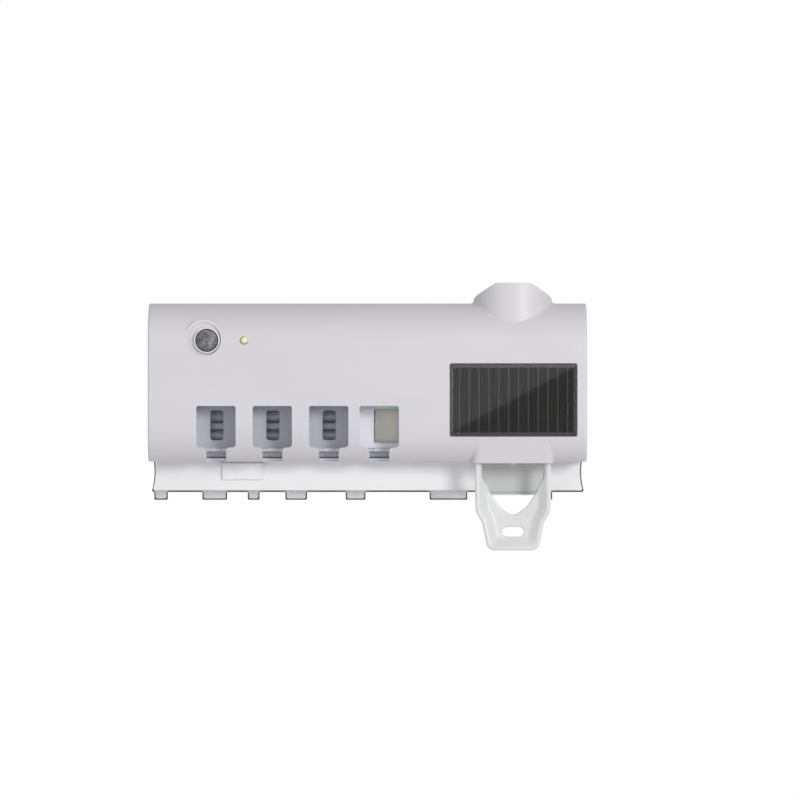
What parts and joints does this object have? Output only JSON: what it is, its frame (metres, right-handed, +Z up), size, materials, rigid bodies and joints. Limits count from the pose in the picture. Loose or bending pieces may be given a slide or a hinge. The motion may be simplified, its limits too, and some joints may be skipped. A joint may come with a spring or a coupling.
{
  "type": "toothbrush sanitizer",
  "caption": "Wall-hung casing that holds toothbrush heads in ultraviolet slots, with a solar panel, a toothpaste tube socket and a push lever that pumps paste.",
  "frame": {"origin": "on the wall plane, at the middle of the adhesive pads' rear faces, level with the middle of the casing", "axes": "+X to the right seen from the front, +Y into the wall, +Z up"},
  "size_m": [0.235, 0.0543, 0.1434],
  "materials": {
    "casing": "satin moulded plastic",
    "casing_back": "fine texture",
    "clear": "clear moulded plastic",
    "pad": "foam tape",
    "lever_plastic": "translucent",
    "rack_plastic": "moulded",
    "lamp_glass": "quartz tube",
    "lamp_base": "moulded",
    "reflector": "bright sheet",
    "board": "solder resist",
    "chips": "moulded",
    "steel": "plated",
    "contact": "nickel plated",
    "cell": "shrink sleeve",
    "holder": "moulded",
    "solar": "thin film",
    "solar_cover": "polished",
    "lens": "milky",
    "led": "diffused",
    "pump": "moulded",
    "rubber": "silicone",
    "lead": "insulation"
  },
  "bodies": {
    "bracket": {"wall_bracket": "clear", "adhesive_pads": "pad"},
    "unit": {"rear_housing": "casing_back", "front_cover": "casing", "sensor_bezel": "casing", "sensor_lens": "lens", "motion_sensor": "steel", "indicator_light": "led", "control_board": "board", "control_chips": "chips", "solar_board": "board", "solar_cells": "solar", "solar_glass": "solar_cover", "brush_rack": "rack_plastic", "uv_lamp": "lamp_glass", "lamp_base": "lamp_base", "lamp_clip": "pump", "lamp_reflector": "reflector", "lamp_inverter": "board", "battery_cell": "cell", "battery_holder": "holder", "battery_contacts": "contact", "battery_door": "casing_back", "charge_board": "board", "charge_socket": "steel", "flap_pin": "steel", "pump_frame": "pump", "pump_cap": "pump", "diaphragm": "rubber", "return_spring": "steel", "inlet_seal": "rubber", "inlet_valve": "rubber", "outlet_nozzle": "pump", "lever_pin": "steel", "case_screws": "steel", "control_board_screws": "steel", "rack_screws": "steel", "pump_screws": "steel", "battery_door_screw": "steel", "reflector_screws": "steel", "lamp_base_screw": "steel", "battery_holder_screws": "steel", "inverter_screws": "steel", "charge_board_screws": "steel", "brush_fascia": "casing", "tube_collar": "casing", "splash_plate": "rack_plastic", "lamp_guard": "casing", "battery_lead": "lead", "solar_lead": "lead", "lamp_lead": "lead", "charge_lead": "lead"},
    "lever": {"push_lever": "lever_plastic"},
    "plunger": {"plunger": "pump"},
    "flap": {"port_flap": "casing"}
  },
  "joints": [
    {"name": "unit_lift", "type": "slide", "parent": "bracket", "child": "unit", "axis": [0, 0, 1], "range_m": [0, 0.006]},
    {"name": "lever_hinge", "type": "hinge", "parent": "unit", "child": "lever", "pos_m": [0.078, -0.04, -0.008], "axis": [1, 0, 0], "range_deg": [0, 15], "stiffness_Nm_per_rad": 0.4, "springref_deg": -5.73},
    {"name": "plunger_slide", "type": "slide", "parent": "unit", "child": "plunger", "axis": [0, 1, 0], "range_m": [0, 0.0045], "deforming": ["return_spring", "diaphragm"]},
    {"name": "flap_hinge", "type": "hinge", "parent": "unit", "child": "flap", "pos_m": [-0.0672, -0.02095, -0.0439], "axis": [-1, 0, 0], "range_deg": [0, 85]}
  ],
  "couplings": [
    {"joint": "plunger_slide", "follows": "lever_hinge", "m_per_rad": 0.016}
  ]
}
